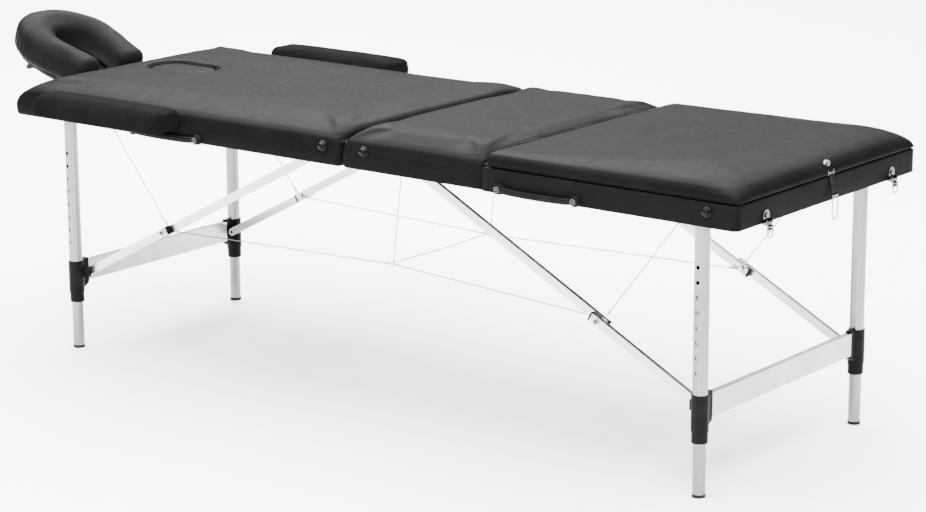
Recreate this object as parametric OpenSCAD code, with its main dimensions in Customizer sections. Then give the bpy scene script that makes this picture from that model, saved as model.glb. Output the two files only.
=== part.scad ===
// Portable massage table: two bed halves that fold like a case, a lift-up foot pad,
// telescopic legs braced by folding struts and cables, a head cradle and two arm shelves.
// The X axis runs from the head end to the foot end, Y runs across, Z is up.

/* [Bed] */
// Length of the bed from head end to foot end
bed_len = 1860; // [1840:10:1900]
// Width of the bed
bed_w = 650; // [640:10:700]
// Length of the fixed middle pad
mid_len = 358; // [350:1:362]
// Height of the bed's underside above the floor
under_z = 525; // [515:5:560]
// Height of the wrapped frame rails
frame_h = 47; // [47:1:52]
// Thickness of the padding above the deck
pad_t = 26; // [24:1:40]

/* [Legs] */
// Distance of each leg from the fold
leg_x = 832; // [825:1:840]
// Half the spacing of the foot-end legs
foot_leg_y = 285; // [284:1:286]
// Half the spacing of the head-end legs
head_leg_y = 257; // [255:1:257]
// Radius of the outer leg tube
outer_r = 14.5; // [14:0.1:15]
// Radius of the inner leg tube
inner_r = 12.4; // [12:0.1:12.4]
// Height of one step of the leg adjustment
hole_step = 28.7; // [26:0.1:30]

/* [Struts] */
// Distance of the strut's upper pivot from the fold
strut_top_x = 67; // [60:1:75]
// Distance of the strut's middle joint from the fold
strut_mid_x = 583; // [575:1:590]
// Height of the strut's lower pivot above the floor
strut_low_z = 172; // [170:1:176]

/* [Head cradle] */
// Distance of the cradle's centre from the fold
ring_x = 1075; // [1065:1:1090]
// Height of the cradle's centre above the floor
ring_z = 616; // [612:1:620]
// Tilt of the cradle, crown end up
ring_tilt = 20.6; // [18:0.1:22]
// Thickness of the cradle cushion
ring_t = 72; // [60:1:76]

/* [Arm shelves] */
// Length of an arm shelf
arm_len = 361; // [340:1:390]
// Width of an arm shelf
arm_w = 92; // [80:1:110]

/* [Hidden] */
$fn = 48;

// Bed
half_len = bed_len / 2;
wrap_t = 2;
rail_t = 20;
rail_out = bed_w / 2 - wrap_t;
rail_in = rail_out - rail_t;
frame_end = half_len - wrap_t;
frame_top = under_z + frame_h;
fold_gap = 4;
pad_gap = 2;
part_gap = 0.2;
deck_t = 5;
deck_y = 312;
deck_end = half_len - 13;
deck_top = frame_top + deck_t;
pad_top = deck_top + pad_t;

// Lift-up foot pad, its hinge and its prop
lid_axis_x = mid_len + 2;
lid_axis_z = pad_top - 5;
lid_gap = 1.5;
board_t = 8;
board_z = frame_top + lid_gap;
board_x = lid_axis_x + 4;
lid_top_z = pad_top + 18;
prop_drop = lid_axis_z - frame_top + 6;
prop_pivot = 240;
prop_len = 262;
prop_r = 4;
prop_arm_y = 120;
rack_y = 150;
rack_t = 8;
rack_gap = 0.6;
rack_low = 540;

// Legs
leg_pivot_z = under_z + 18;
leg_end = 12;
bolt_r = 4;
run_gap = 0.05;
collar_z = 106;
collar_top = 198;
collar_ring_top = 128;
collar_r = 17;
collar_ring_r = 15.8;
boss_x = 6.5;
boss_w = 15;
bar_t = 14;
bar_z = 149;
bar_h = 46;
bar_wall = 1.6;
tube_wall = 1.5;
button_z = 356;
button_r = 3.95;
hole_r = 4;
foot_t = 6;

// Struts
strut_h = 17;
strut_t = 10;
strut_wall = 1.5;
strut_off = 19;
strut_top_z = leg_pivot_z + strut_off;
strut_low_x = leg_x - strut_off;
strut_slope = (strut_top_z - strut_low_z) / (strut_low_x - strut_top_x);
strut_mid_z = strut_top_z - (strut_mid_x - strut_top_x) * strut_slope;
strut_ang = atan(strut_slope);
lower_in = 24;
upper_in = 36;
pin_r = 3.5;

// Cables
cable_r = 1;
node_y = 163;
node_z = 296;

// Folding hinge
knuckle_r = 3;
hinge_pin_r = 1.5;
hinge_ys = [-220, 0, 220];
lid_knuckle_r = 2.8;
lid_hinge_ys = [-180, 0, 180];

// Handles and bumpers
foot_handle_xs = [400, 578];
head_handle_xs = [384, 567];
handle_z = 536;
handle_lug_r = 10;
handle_out = 10;
grip_t = 10;
grip_h = 13;
grip_sag = 3;
bumper_r = 12;
bumper_h = 11;

// Latches
latch_y = 228;
latch_x = half_len + 6;
latch_side_z = 529;
mid_latch_x = half_len - 3;
mid_latch_z = 580;
mid_lean = 12;
plate_rise = 12;
lever_y = 6.9;
lever_side_len = 14;
lever_mid_len = 46;
loop_out = 3.8;
side_drop = 8;
mid_drop = 43;
loop_x = latch_x + loop_out;
loop_z = latch_side_z - side_drop;
mid_loop_x = mid_latch_x + loop_out * cos(mid_lean) + mid_drop * sin(mid_lean);
mid_loop_z = mid_latch_z + loop_out * sin(mid_lean) - mid_drop * cos(mid_lean);
loop_side_low = 500;
loop_mid_low = 492;
loop_y = 9;
wire_r = 1.2;
latch_barrel_r = 2.6;

// Head cradle
post_y = 100;
post_r = 6.5;
post_z = 540;
post_x0 = 850;
yoke_x = 956;
yoke_r = 7;
ring_r = 132;
ring_stretch = 18;
ring_front = 122;
ring_hole_r = 50;
ring_hole_x = 6;
ring_slot = 66;
plate_t = 6;
plate_r = 108;
sleeve_r = 11;

// Arm shelves
arm_x = 600.5;
arm_gap = 6;
arm_z0 = 554;
arm_z1 = 602;
arm_rod_xs = [-700, -520];
arm_rod_r = 5.5;
arm_rod_z = 564;
arm_rod_in = 250;
arm_board_t = 12;

// Face hole
hole_x = -733;
hole_end_r = 55;
hole_half = 30;
plug_gap = 1;

// Places the fold so that the origin is below the middle of the whole table
head_reach = ring_x + (ring_r + ring_stretch) * cos(ring_tilt) + ring_t / 2 * sin(ring_tilt);
foot_reach = loop_x + latch_barrel_r;
fold_x = (head_reach - foot_reach) / 2;

// Foot bar of the prop at lift angle a, measured from the lid's hinge
function prop_foot(a) = [
    lid_axis_x + prop_pivot * cos(a) + prop_drop * sin(a) + prop_len * cos(a),
    lid_axis_z + (prop_pivot - prop_len) * sin(a) - prop_drop * cos(a)
];

module placed() translate([fold_x, 0, 0]) children();

module both_sides() {
    children();
    mirror([0, 1, 0]) children();
}

module head_side() mirror([1, 0, 0]) children();

module slab(x, y, z) translate([x[0], y[0], z[0]]) cube([x[1] - x[0], y[1] - y[0], z[1] - z[0]]);

// A bar along Y, from y[0] to y[1]
module bar_y(x, z, y, r) translate([x, y[0], z]) rotate([-90, 0, 0]) cylinder(r = r, h = y[1] - y[0]);

// A bar along X, from x[0] to x[1]
module bar_x(y, z, x, r) translate([x[0], y, z]) rotate([0, 90, 0]) cylinder(r = r, h = x[1] - x[0]);

// A straight rod from point a to point b
module rod(a, b, r) {
    d = b - a;
    translate(a) rotate([0, acos(d[2] / norm(d)), atan2(d[1], d[0])]) cylinder(r = r, h = norm(d), $fn = 24);
}

// An oblong with round ends, long axis along X
module oblong(r, half) {
    translate([-half, 0]) circle(r);
    translate([half, 0]) circle(r);
    square([2 * half, 2 * r], center = true);
}

// Frames, decks and pads

module side_rail() slab([fold_gap, frame_end], [rail_in, rail_out], [under_z, frame_top]);

module cross_rail(x, y, z) slab([x, x + rail_t], [-y, y], z);

module foot_frame() color("#2c2c2e") placed() {
    both_sides() side_rail();
    cross_rail(fold_gap, rail_in - part_gap, [under_z, frame_top]);
    cross_rail(mid_len - 2 - rail_t, 236, [frame_top - rail_t, frame_top]);
    cross_rail(frame_end - rail_t, rail_in - part_gap, [under_z, frame_top]);
}

module mid_deck() color("burlywood") placed()
    slab([fold_gap, mid_len - 2], [-deck_y, deck_y], [frame_top, deck_top]);

module mid_pad() color("#3a3a3c") placed()
    slab([pad_gap, mid_len - 2.5], [-bed_w / 2, bed_w / 2], [deck_top, pad_top]);

module head_frame() color("#2c2c2e") placed() head_side() {
    difference() {
        both_sides() side_rail();
        for (x = arm_rod_xs)
            bar_y(-x, arm_rod_z, [-rail_out - 1, rail_out + 1], arm_rod_r + 2);
    }
    cross_rail(fold_gap, rail_in - part_gap, [under_z, frame_top]);
    difference() {
        cross_rail(frame_end - rail_t, rail_in - part_gap, [under_z, frame_top]);
        both_sides() bar_x(post_y, post_z, [frame_end - rail_t - 1, frame_end + 1], post_r + 2.5);
    }
}

module head_deck() color("burlywood") placed() difference() {
    slab([-deck_end, -fold_gap], [-deck_y, deck_y], [frame_top, deck_top]);
    translate([hole_x, 0, frame_top - 1]) linear_extrude(deck_t + 2) oblong(hole_end_r - 5, hole_half);
}

module head_pad() color("#3a3a3c") placed() difference() {
    slab([-half_len, -pad_gap], [-bed_w / 2, bed_w / 2], [deck_top, pad_top]);
    translate([hole_x, 0, deck_top - 1]) linear_extrude(pad_t + 2) oblong(hole_end_r, hole_half);
}

module face_plug() color("#3a3a3c") placed() translate([hole_x, 0, 0]) {
    translate([0, 0, deck_top]) linear_extrude(pad_t) oblong(hole_end_r - plug_gap, hole_half);
    translate([0, 0, frame_top]) linear_extrude(deck_t) oblong(hole_end_r - 6, hole_half);
}

module lid_board() color("burlywood") placed()
    slab([board_x, deck_end], [-deck_y, deck_y], [board_z, board_z + board_t]);

module lid_pad() color("#3a3a3c") placed()
    translate([0, bed_w / 2, 0]) rotate([90, 0, 0]) linear_extrude(bed_w) polygon([
        [board_x + 0.5, board_z + board_t],
        [deck_end, board_z + board_t],
        [deck_end, pad_top + 3],
        [half_len - 24, lid_top_z],
        [board_x + 10, pad_top],
        [board_x + 0.5, pad_top - 6]
    ]);

// Hinges

// Leaf of the fold hinge on the +X side, with knuckles over the y ranges in segs
module fold_leaf(y, segs) {
    slab([fold_gap - 1.4, fold_gap], [y - 32, y + 32], [under_z + 5, under_z + 38]);
    for (s = segs) difference() {
        union() {
            bar_y(0, under_z, [y + s[0], y + s[1]], knuckle_r);
            slab([1.6, fold_gap], [y + s[0], y + s[1]], [under_z, under_z + 7]);
        }
        bar_y(0, under_z, [y + s[0] - 1, y + s[1] + 1], hinge_pin_r + run_gap);
    }
}

// Leaf of the lid hinge on the +X side of its axis, reaching down to z_low
module lid_leaf(y, segs, z_low) {
    slab([2.6, 4], [y - 30, y + 30], [z_low, lid_axis_z - 6]);
    for (s = segs) difference() {
        union() {
            bar_y(0, lid_axis_z, [y + s[0], y + s[1]], lid_knuckle_r);
            slab([1.6, 4], [y + s[0], y + s[1]], [lid_axis_z - 8, lid_axis_z]);
        }
        bar_y(0, lid_axis_z, [y + s[0] - 1, y + s[1] + 1], hinge_pin_r + run_gap);
    }
}

outer_segs = [[-30, -10.2], [10.2, 30]];
inner_segs = [[-10, 10]];

// Brackets

// Leg bracket: two cheeks and a top plate reaching out to the side rail
module leg_bracket(y) difference() {
    union() {
        slab([leg_x - 20, leg_x + 20], [y - outer_r - 3.5, y - outer_r - 0.5], [under_z + 5, frame_top]);
        slab([leg_x - 20, leg_x + 20], [y + outer_r + 0.5, y + outer_r + 3.5], [under_z + 5, frame_top]);
        slab([leg_x - 20, leg_x + 20], [y - outer_r - 3.5, rail_in], [frame_top - 3, frame_top]);
    }
    bar_y(leg_x, leg_pivot_z, [y - 20, y + 20], bolt_r);
}

// Bracket that carries the upper strut's pivot, on the outer side of the strut
module strut_bracket(y) difference() {
    union() {
        slab([strut_top_x - 12, strut_top_x + 12], [y + 6, y + 9], [frame_top - 24, frame_top]);
        slab([strut_top_x - 12, strut_top_x + 12], [y + 6, y + 24], [frame_top - 3, frame_top]);
    }
    bar_y(strut_top_x, strut_top_z, [y, y + 12], pin_r);
}

// Notched rack plate that the prop's foot bar slides along
module prop_rack() {
    top = [for (a = [10:5:70]) prop_foot(a) - [0, prop_r + rack_gap]];
    difference() {
        translate([0, rack_y + rack_t / 2, 0]) rotate([90, 0, 0]) linear_extrude(rack_t) polygon(concat(
            [[frame_end - rail_t, rack_low], [frame_end - rail_t, top[0][1]]],
            top,
            [[540, frame_top - 6], [mid_len - 2, frame_top - 6], [mid_len - 2, frame_top - 16],
             [485, frame_top - 16], [500, rack_low]]
        ));
        for (a = [28:10.5:70])
            bar_y(prop_foot(a)[0], prop_foot(a)[1], [rack_y - rack_t, rack_y + rack_t], prop_r + rack_gap);
    }
}

module foot_brackets() color("silver") placed() {
    both_sides() {
        leg_bracket(foot_leg_y);
        strut_bracket(foot_leg_y - upper_in);
        prop_rack();
    }
    for (y = hinge_ys) fold_leaf(y, outer_segs);
    translate([lid_axis_x, 0, 0]) mirror([1, 0, 0])
        for (y = lid_hinge_ys) lid_leaf(y, outer_segs, frame_top - 18);
}

module head_brackets() color("silver") placed() head_side() {
    both_sides() {
        leg_bracket(head_leg_y);
        strut_bracket(head_leg_y - upper_in);
    }
    for (y = hinge_ys) fold_leaf(y, inner_segs);
}

// Bolts, pins and screws

module leg_bolt(y) {
    bar_y(leg_x, leg_pivot_z, [y - outer_r - 3.5, y + outer_r + 3.5], bolt_r);
    translate([leg_x, y - outer_r - 3.5, leg_pivot_z]) rotate([90, 0, 0]) cylinder(r = 7, h = 4, $fn = 6);
}

module strut_bolt(y) {
    bar_y(strut_top_x, strut_top_z, [y - 6, y + 9], pin_r);
    bar_y(strut_top_x, strut_top_z, [y - 8.5, y - 5.5], 6);
}

module handle_screw(x) {
    bar_y(x, handle_z, [-bed_w / 2 - handle_out, -rail_out], 2.5);
    bar_y(x, handle_z, [-bed_w / 2 - handle_out - 3, -bed_w / 2 - handle_out], 6);
}

module foot_fasteners() color("gainsboro") placed() {
    both_sides() {
        leg_bolt(foot_leg_y);
        strut_bolt(foot_leg_y - upper_in);
    }
    for (y = hinge_ys) bar_y(0, under_z, [y - 30, y + 30], hinge_pin_r);
    for (y = lid_hinge_ys) bar_y(lid_axis_x, lid_axis_z, [y - 30, y + 30], hinge_pin_r);
    for (x = foot_handle_xs) handle_screw(x);
}

module head_fasteners() color("gainsboro") placed() head_side() {
    both_sides() {
        leg_bolt(head_leg_y);
        strut_bolt(head_leg_y - upper_in);
    }
    for (x = head_handle_xs) handle_screw(x);
}

// Handles and bumpers

// Height of the grip's middle at fraction t of its length
function grip_z(t) = handle_z - grip_sag * (1 - pow(abs(2 * t - 1), 3));

module handle(xs) {
    span = xs[1] - xs[0];
    steps = 10;
    for (x = xs) difference() {
        bar_y(x, handle_z, [-bed_w / 2 - handle_out, -rail_out], handle_lug_r);
        bar_y(x, handle_z, [-bed_w / 2 - handle_out - 1, -rail_out + 1], 2.5);
    }
    translate([xs[0], -bed_w / 2 - handle_out, 0]) rotate([90, 0, 0])
        difference() {
            linear_extrude(grip_t) polygon(concat(
                [for (i = [0:steps]) [span * i / steps, grip_z(i / steps) - grip_h / 2]],
                [for (i = [steps:-1:0]) [span * i / steps, grip_z(i / steps) + grip_h / 2]]
            ));
            for (x = [0, span]) translate([x, handle_z, -1]) cylinder(r = 8, h = grip_t + 2);
        }
}

module foot_handle() color("#1c1c1c") placed() handle(foot_handle_xs);

module head_handle() color("#1c1c1c") placed() head_side() handle(head_handle_xs);

module bumper(x, z) {
    bar_y(x, z, [rail_out, bed_w / 2 + bumper_h - 4], bumper_r - 1.5);
    bar_y(x, z, [bed_w / 2 + bumper_h - 5, bumper_h + bed_w / 2], bumper_r);
}

module foot_bumpers() color("#161616") placed() both_sides() {
    bumper(64, 566);
    bumper(866, 556);
}

module head_bumpers() color("#161616") placed() both_sides() bumper(-43, 565);

// Latches

// Round base plate with a screw, two ears and a pin for the lever's pivot at x, z
module latch_base(x, y, z, plate) {
    bar_x(y, z + plate_rise, plate, 10.5);
    slab(plate, [y - 10.5, y + 10.5], [z - 4, z + plate_rise]);
    bar_x(y, z + plate_rise, [plate[1], plate[1] + 2.5], 5);
    for (s = [-1, 1]) difference() {
        slab([plate[1] - 0.5, x + 3], [y + s * 9.75 - 0.75, y + s * 9.75 + 0.75], [z - 5, z + 5]);
        bar_y(x, z, [y - 12, y + 12], hinge_pin_r);
    }
    bar_y(x, z, [y - 10.5, y + 10.5], hinge_pin_r);
}

module latch_bases() color("silver") placed() for (y = [-latch_y, latch_y])
    latch_base(latch_x, y, latch_side_z, [frame_end, half_len + 1.5]);

// Lever that hangs from a pin at the origin and carries the wire loop's pivot
module latch_lever(len, drop) difference() {
    union() {
        bar_y(0, 0, [-8.7, 8.7], 3);
        slab([0.6, 2], [-lever_y, lever_y], [-len, 0]);
        bar_y(2.4, -len, [-lever_y, lever_y], 2.2);
        bar_y(loop_out, -drop, [-lever_y, lever_y], latch_barrel_r);
    }
    bar_y(0, 0, [-10, 10], hinge_pin_r + run_gap);
    bar_y(loop_out, -drop, [-10, 10], wire_r + run_gap);
}

module side_lever(y) translate([latch_x, y, latch_side_z]) latch_lever(lever_side_len, side_drop);

module near_latch_lever() color("silver") placed() side_lever(-latch_y);

module mid_latch_lever() color("silver") placed()
    translate([mid_latch_x, 0, mid_latch_z]) rotate([0, -mid_lean, 0]) latch_lever(lever_mid_len, mid_drop);

module far_latch_lever() color("silver") placed() side_lever(latch_y);

// Closed wire loop of four bars hanging from height z down to z_low
module latch_loop(x, y, z, z_low) {
    bar_y(x, z, [y - loop_y - wire_r, y + loop_y + wire_r], wire_r);
    bar_y(x, z_low, [y - loop_y - wire_r, y + loop_y + wire_r], wire_r);
    for (s = [-1, 1]) translate([x, y + s * loop_y, z_low + wire_r + part_gap])
        cylinder(r = wire_r, h = z - z_low - 2 * (wire_r + part_gap));
}

module near_latch_loop() color("gainsboro") placed() latch_loop(loop_x, -latch_y, loop_z, loop_side_low);

module mid_latch_loop() color("gainsboro") placed() latch_loop(mid_loop_x, 0, mid_loop_z, loop_mid_low);

module far_latch_loop() color("gainsboro") placed() latch_loop(loop_x, latch_y, loop_z, loop_side_low);

module latch_keepers() color("silver") placed() head_side() for (y = [-latch_y, 0, latch_y]) {
    slab([frame_end, half_len + 1.5], [y - 10, y + 10], [538, 564]);
    slab([half_len + 1, half_len + 6], [y - 8, y + 8], [551, 553]);
    slab([half_len + 4.6, half_len + 6], [y - 8, y + 8], [547, 552]);
}

// Lid fittings: hinge leaves, prop brackets and the middle latch's base

module prop_bracket(y) difference() {
    slab([lid_axis_x + prop_pivot - 9, lid_axis_x + prop_pivot + 9], [y - 1.5, y + 1.5],
         [lid_axis_z - prop_drop - 7, board_z]);
    bar_y(lid_axis_x + prop_pivot, lid_axis_z - prop_drop, [y - 3, y + 3], prop_r + run_gap);
}

module lid_fittings() color("silver") placed() {
    translate([lid_axis_x, 0, 0]) for (y = lid_hinge_ys) lid_leaf(y, inner_segs, board_z);
    for (y = [-100, 100]) prop_bracket(y);
    latch_base(mid_latch_x, 0, mid_latch_z, [deck_end, deck_end + 4.5]);
}

module prop_stand() color("silver") placed() {
    x0 = lid_axis_x + prop_pivot;
    z = lid_axis_z - prop_drop;
    bar_y(x0, z, [-prop_arm_y - prop_r, prop_arm_y + prop_r], prop_r);
    bar_y(x0 + prop_len, z, [-rack_y - 10, rack_y + 10], prop_r);
    both_sides() bar_x(prop_arm_y, z, [x0 + prop_r + part_gap, x0 + prop_len - prop_r - part_gap], prop_r);
}

// Legs

module outer_leg(y) difference() {
    translate([leg_x, y, collar_z]) cylinder(r = outer_r, h = leg_pivot_z + leg_end - collar_z);
    translate([leg_x, y, collar_z - 1]) cylinder(r = inner_r + run_gap, h = leg_pivot_z + leg_end);
    bar_y(leg_x, leg_pivot_z, [y - 20, y + 20], bolt_r + run_gap);
    for (i = [-4:3]) bar_y(leg_x, button_z + i * hole_step, [y, y + 20], hole_r);
}

// Plastic collar on the outer leg's lower end, with the bar's boss and the strut's lug and pin
module collar(y) {
    difference() {
        union() {
            translate([leg_x, y, collar_z]) cylinder(r = collar_ring_r, h = collar_ring_top - collar_z);
            translate([leg_x, y, collar_ring_top]) cylinder(r = collar_r, h = collar_top - collar_ring_top);
            translate([leg_x - boss_x, 0, 0]) rotate([90, 0, 90]) linear_extrude(2 * boss_x) polygon([
                [y - 10, collar_ring_top + 4],
                [y - collar_r, collar_ring_top + 6],
                [y - collar_r - boss_w, bar_z - 6],
                [y - collar_r - boss_w, collar_top + 2],
                [y - 10, collar_top]
            ]);
            slab([leg_x - 28, leg_x - 5], [y - collar_r - 1, y - 6], [strut_low_z - 10, strut_low_z + 10]);
        }
        translate([leg_x, y, collar_z - 1]) cylinder(r = outer_r, h = collar_top - collar_z + 6);
        bar_y(strut_low_x, strut_low_z, [y - 30, y - 9], pin_r);
    }
    bar_y(strut_low_x, strut_low_z, [y - lower_in - 5, y - 9], pin_r);
}

module cross_bar(y) {
    w = y - collar_r - boss_w;
    difference() {
        slab([leg_x - bar_t / 2, leg_x + bar_t / 2], [-w, w], [bar_z, bar_z + bar_h]);
        slab([leg_x - bar_t / 2 + bar_wall, leg_x + bar_t / 2 - bar_wall], [-w - 1, w + 1],
             [bar_z + bar_wall, bar_z + bar_h - bar_wall]);
    }
}

module foot_outer_legs() color("#d9dadc") placed() both_sides() outer_leg(foot_leg_y);

module foot_collars() color("#111111") placed() both_sides() collar(foot_leg_y);

module foot_cross_bar() color("#d9dadc") placed() cross_bar(foot_leg_y);

module head_outer_legs() color("#d9dadc") placed() head_side() both_sides() outer_leg(head_leg_y);

module head_collars() color("#111111") placed() head_side() both_sides() collar(head_leg_y);

module head_cross_bar() color("#d9dadc") placed() head_side() cross_bar(head_leg_y);

module inner_leg(y) color("#dfe0e2") difference() {
    translate([leg_x, y, foot_t]) cylinder(r = inner_r, h = button_z + 30 - foot_t);
    translate([leg_x, y, foot_t - 1]) cylinder(r = inner_r - tube_wall, h = button_z + 32);
    bar_y(leg_x, button_z, [y, y + 20], hole_r);
}

module rubber(y) color("#141414") {
    translate([leg_x, y, 0]) cylinder(r = inner_r + 0.6, h = foot_t);
    translate([leg_x, y, foot_t - 1]) cylinder(r = inner_r - tube_wall, h = 20);
}

module button(y) color("silver") {
    bar_y(leg_x, button_z, [y + 5, y + outer_r + 1], button_r);
    bar_y(leg_x, button_z, [y + 5, y + 6.5], 5.5);
}

module near_side() mirror([0, 1, 0]) children();

module near_foot_inner_leg() placed() near_side() inner_leg(foot_leg_y);
module far_foot_inner_leg() placed() inner_leg(foot_leg_y);
module near_head_inner_leg() placed() head_side() near_side() inner_leg(head_leg_y);
module far_head_inner_leg() placed() head_side() inner_leg(head_leg_y);

module near_foot_rubber() placed() near_side() rubber(foot_leg_y);
module far_foot_rubber() placed() rubber(foot_leg_y);
module near_head_rubber() placed() head_side() near_side() rubber(head_leg_y);
module far_head_rubber() placed() head_side() rubber(head_leg_y);

module near_foot_button() placed() near_side() button(foot_leg_y);
module far_foot_button() placed() button(foot_leg_y);
module near_head_button() placed() head_side() near_side() button(head_leg_y);
module far_head_button() placed() head_side() button(head_leg_y);

// Struts

// A flat tube in the XZ plane from pivot a to pivot b, bored at the ends in bores
module link(a, b, y, bores) {
    d = b - a;
    len = norm(d);
    translate([a[0], y, a[1]]) rotate([0, -atan2(d[1], d[0]), 0]) difference() {
        union() {
            slab([0, len], [-strut_t / 2, strut_t / 2], [-strut_h / 2, strut_h / 2]);
            for (x = [0, len]) bar_y(x, 0, [-strut_t / 2, strut_t / 2], strut_h / 2);
        }
        slab([strut_h, len - strut_h], [-strut_t / 2 + strut_wall, strut_t / 2 - strut_wall],
             [-strut_h / 2 + strut_wall, strut_h / 2 - strut_wall]);
        for (x = bores) bar_y(x * len, 0, [-strut_t, strut_t], pin_r + run_gap);
    }
}

// Upper link with the middle joint's bolt, whose outer end stops short of the lower link
module upper_strut(y) {
    link([strut_top_x, strut_top_z], [strut_mid_x, strut_mid_z], y, [0]);
    bar_y(strut_mid_x, strut_mid_z, [y - strut_t / 2 - 3, y - strut_t / 2], 6);
}

module lower_strut(y) {
    link([strut_low_x, strut_low_z], [strut_mid_x, strut_mid_z], y, [0]);
    bar_y(strut_mid_x, strut_mid_z, [y + strut_t / 2, y + strut_t / 2 + 2.5], 6);
}

module foot_upper_struts() color("#d9dadc") placed() both_sides() upper_strut(foot_leg_y - upper_in);

module foot_lower_struts() color("#d9dadc") placed() both_sides() lower_strut(foot_leg_y - lower_in);

module head_upper_struts() color("#d9dadc") placed() head_side() both_sides()
    upper_strut(head_leg_y - upper_in);

module head_lower_struts() color("#d9dadc") placed() head_side() both_sides()
    lower_strut(head_leg_y - lower_in);

// Cables

// Cables of one half: from the middle joint up to the frame, and in to the centre node
module half_cables(y) {
    m = [strut_mid_x, y - strut_t / 2 - 5, strut_mid_z];
    c = [0, node_y, node_z];
    u = (c - m) / norm(c - m);
    rod(m + [5, 0, 6], [770, m[1], under_z + 4], cable_r);
    rod(m + 6 * u, c - 5 * u, cable_r);
}

module foot_cables() color("#b9bbbe") placed() {
    both_sides() {
        half_cables(foot_leg_y - upper_in);
        translate([0, node_y, node_z]) sphere(r = 4);
        rod([14, node_y, node_z + 5], [30, node_y, under_z - 0.5], cable_r);
    }
    rod([0, -node_y + 5, node_z], [0, node_y - 5, node_z], cable_r);
}

module head_cables() color("#b9bbbe") placed() head_side() both_sides()
    half_cables(head_leg_y - upper_in);

// Head cradle

module ring_place() translate([-ring_x, 0, ring_z]) rotate([0, ring_tilt, 0]) children();

module ring_outline(r) difference() {
    oblong(r, ring_stretch);
    translate([ring_hole_x, 0]) circle(ring_hole_r);
    translate([ring_hole_x, -ring_slot / 2]) square([2 * r, ring_slot]);
    translate([ring_front, -r]) square([r, 2 * r]);
}

module headrest_cushion() color("#3a3a3c") placed() ring_place()
    translate([0, 0, -ring_t / 2]) linear_extrude(ring_t) ring_outline(ring_r);

module headrest_platform() color("#202020") placed() {
    axis_x = (ring_x - yoke_x) * cos(ring_tilt) + (ring_z - post_z) * sin(ring_tilt);
    axis_z = (ring_x - yoke_x) * sin(ring_tilt) - (ring_z - post_z) * cos(ring_tilt);
    ring_place() {
        difference() {
            union() {
                translate([0, 0, -ring_t / 2 - plate_t]) linear_extrude(plate_t) ring_outline(plate_r);
                both_sides() {
                    slab([90, axis_x], [44, 60], [-ring_t / 2 - plate_t, -ring_t / 2]);
                    bar_y(axis_x, axis_z, [44, 60], sleeve_r);
                }
            }
            bar_y(axis_x, axis_z, [-70, 70], yoke_r + run_gap);
        }
        both_sides() bar_y(-29, -ring_t / 2 - plate_t - 6, [64, 108], 6);
    }
}

module headrest_frame() color("#c9cacd") placed() {
    both_sides() bar_x(post_y, post_z, [-yoke_x + yoke_r + part_gap, -post_x0], post_r);
    bar_y(-yoke_x, post_z, [-post_y - yoke_r, post_y + yoke_r], yoke_r);
}

module headrest_lever() color("#161616") placed() difference() {
    union() {
        bar_y(-yoke_x, post_z, [-12, 12], sleeve_r);
        translate([-yoke_x, 0, post_z]) rotate([0, 200, 0]) {
            slab([-3, 3], [-10, 10], [0, 58]);
            bar_y(0, 58, [-10, 10], 4.5);
        }
    }
    bar_y(-yoke_x, post_z, [-14, 14], yoke_r + run_gap);
}

module accessory_sockets() color("#111111") placed() head_side() {
    both_sides() {
        difference() {
            union() {
                bar_x(post_y, post_z, [frame_end - rail_t, half_len + 2], post_r + 2.5);
                bar_x(post_y, post_z, [half_len, half_len + 2], post_r + 6);
            }
            bar_x(post_y, post_z, [frame_end - rail_t - 1, half_len + 3], post_r + run_gap);
        }
        for (x = arm_rod_xs) difference() {
            union() {
                bar_y(-x, arm_rod_z, [rail_in, bed_w / 2 + 2], arm_rod_r + 2);
                bar_y(-x, arm_rod_z, [bed_w / 2, bed_w / 2 + 2], arm_rod_r + 4);
            }
            bar_y(-x, arm_rod_z, [rail_in - 1, bed_w / 2 + 3], arm_rod_r + run_gap);
        }
    }
}

// Arm shelves

arm_y0 = bed_w / 2 + arm_gap;
arm_y1 = arm_y0 + arm_w;
arm_xs = [-arm_x - arm_len / 2, -arm_x + arm_len / 2];
board_zs = [arm_rod_z - arm_board_t / 2, arm_rod_z + arm_board_t / 2];

module arm_pad() color("#3a3a3c") difference() {
    slab(arm_xs, [arm_y0, arm_y1], [arm_z0, arm_z1]);
    slab([arm_xs[0] + 10, arm_xs[1] - 10], [arm_y0 - 1, arm_y1 - 8], board_zs);
}

module arm_frame() color("#9a9b9e") {
    slab([arm_xs[0] + 10, arm_xs[1] - 10], [arm_y0, arm_y1 - 8], board_zs);
    for (x = arm_rod_xs) bar_y(x, arm_rod_z, [arm_rod_in, arm_y0 + 1], arm_rod_r);
}

module near_arm_pad() placed() near_side() arm_pad();
module near_arm_frame() placed() near_side() arm_frame();
module far_arm_pad() placed() arm_pad();
module far_arm_frame() placed() arm_frame();

foot_frame();
mid_deck();
mid_pad();
foot_brackets();
foot_fasteners();
foot_handle();
foot_bumpers();
latch_bases();
foot_cables();
head_frame();
head_deck();
head_pad();
head_brackets();
head_fasteners();
head_handle();
head_bumpers();
latch_keepers();
accessory_sockets();
head_cables();
lid_board();
lid_pad();
lid_fittings();
prop_stand();
foot_outer_legs();
foot_collars();
foot_cross_bar();
head_outer_legs();
head_collars();
head_cross_bar();
near_foot_inner_leg();
far_foot_inner_leg();
near_head_inner_leg();
far_head_inner_leg();
near_foot_rubber();
far_foot_rubber();
near_head_rubber();
far_head_rubber();
near_foot_button();
far_foot_button();
near_head_button();
far_head_button();
foot_upper_struts();
foot_lower_struts();
head_upper_struts();
head_lower_struts();
near_arm_pad();
near_arm_frame();
far_arm_pad();
far_arm_frame();
headrest_frame();
headrest_platform();
headrest_cushion();
headrest_lever();
face_plug();
near_latch_lever();
mid_latch_lever();
far_latch_lever();
near_latch_loop();
mid_latch_loop();
far_latch_loop();
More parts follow.
